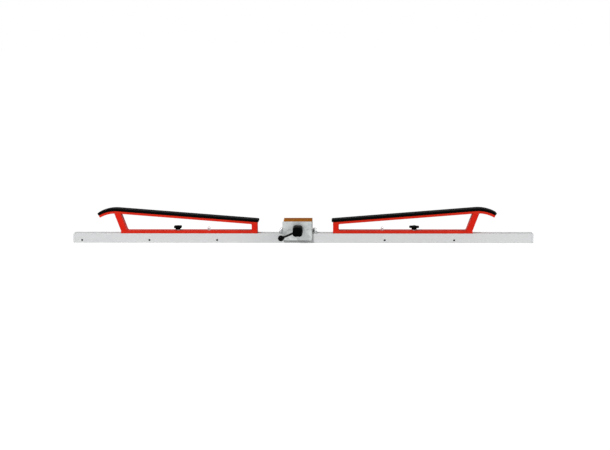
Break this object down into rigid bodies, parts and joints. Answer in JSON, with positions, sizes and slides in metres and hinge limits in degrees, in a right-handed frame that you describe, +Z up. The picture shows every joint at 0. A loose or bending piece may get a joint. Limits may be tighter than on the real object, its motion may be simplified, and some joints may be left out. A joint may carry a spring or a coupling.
{
  "type": "ski waxing profile",
  "caption": "Long aluminium T-slot bar with sliding, rubber-padded ski supports held by star knobs, and a lever-operated screw vice that grips the ski's binding.",
  "frame": {"origin": "centre of the bar's underside", "axes": "+X along the bar, +Y across it and away from the lever, +Z up"},
  "size_m": [1.5, 0.1352, 0.1133],
  "materials": {
    "aluminium": "clear anodised, satin",
    "cap_plastic": "light grey moulding",
    "red_coat": "red powder coat on steel",
    "rubber": "black, fine-grained",
    "black_plastic": "black moulding",
    "ball_plastic": "black, polished",
    "chrome": "polished",
    "zinc": "zinc plated, lightly mottled",
    "steel": "bright turned steel",
    "blackened": "blackened",
    "brass": "turned",
    "leather": "tan, smooth"
  },
  "bodies": {
    "bar": {"bar_profile": "aluminium", "left_end_cap": "cap_plastic", "right_end_cap": "cap_plastic", "clamp_bracket": "zinc", "rear_jaw_liner": "leather", "left_guide_bush": "brass", "right_guide_bush": "brass", "spindle_nut": "zinc", "left_ear_bolt": "steel", "right_ear_bolt": "steel", "left_ear_washer": "zinc", "right_ear_washer": "zinc", "left_ear_dome_nut": "chrome", "right_ear_dome_nut": "chrome"},
    "front_jaw": {"front_jaw_plate": "zinc", "front_jaw_liner": "leather", "left_guide_pin": "steel", "right_guide_pin": "steel", "thrust_washer": "steel"},
    "lever": {"clamp_spindle": "blackened", "spindle_clip": "steel", "lever_hub": "black_plastic", "lever_rod": "blackened", "lever_ball": "ball_plastic"},
    "left_support": {"left_bottom_rail": "red_coat", "left_inner_leg": "red_coat", "left_outer_leg": "red_coat", "left_top_rail": "red_coat", "left_rubber_pad": "rubber", "left_guide_bolt": "steel", "left_guide_washer": "zinc", "left_knob_washer": "zinc", "left_dome_nut": "chrome"},
    "left_clamp_bolt": {"left_clamp_bolt": "steel"},
    "left_knob": {"left_knob": "black_plastic", "left_knob_insert": "brass"},
    "right_support": {"right_bottom_rail": "red_coat", "right_inner_leg": "red_coat", "right_outer_leg": "red_coat", "right_top_rail": "red_coat", "right_rubber_pad": "rubber", "right_guide_bolt": "steel", "right_guide_washer": "zinc", "right_knob_washer": "zinc", "right_dome_nut": "chrome"},
    "right_clamp_bolt": {"right_clamp_bolt": "steel"},
    "right_knob": {"right_knob": "black_plastic", "right_knob_insert": "brass"}
  },
  "joints": [
    {"name": "left_support_slide", "type": "slide", "parent": "bar", "child": "left_support", "axis": [1, 0, 0], "range_m": [-0.15, 0.064]},
    {"name": "right_support_slide", "type": "slide", "parent": "bar", "child": "right_support", "axis": [1, 0, 0], "range_m": [-0.045, 0.185]},
    {"name": "jaw_slide", "type": "slide", "parent": "bar", "child": "front_jaw", "axis": [0, -1, 0], "range_m": [-0.006, 0.018]},
    {"name": "lever_turn", "type": "hinge", "parent": "front_jaw", "child": "lever", "pos_m": [-0.008, -0.0293, 0.045], "axis": [0, 1, 0], "range_deg": [-2165, 725]},
    {"name": "left_clamp_bolt_slide", "type": "slide", "parent": "left_support", "child": "left_clamp_bolt", "axis": [0, 0, 1], "range_m": [-0.0015, 0]},
    {"name": "left_knob_turn", "type": "hinge", "parent": "left_support", "child": "left_knob", "pos_m": [-0.4035, 0, 0.0396], "axis": [0, 0, 1], "range_deg": [-2, 543]},
    {"name": "right_clamp_bolt_slide", "type": "slide", "parent": "right_support", "child": "right_clamp_bolt", "axis": [0, 0, 1], "range_m": [-0.0015, 0]},
    {"name": "right_knob_turn", "type": "hinge", "parent": "right_support", "child": "right_knob", "pos_m": [0.3685, 0, 0.0396], "axis": [0, 0, 1], "range_deg": [-2, 543]}
  ],
  "couplings": [
    {"joint": "lever_turn", "follows": "jaw_slide", "rad_per_m": -2094.4},
    {"joint": "left_knob_turn", "follows": "left_clamp_bolt_slide", "rad_per_m": -6283.2},
    {"joint": "right_knob_turn", "follows": "right_clamp_bolt_slide", "rad_per_m": -6283.2}
  ]
}
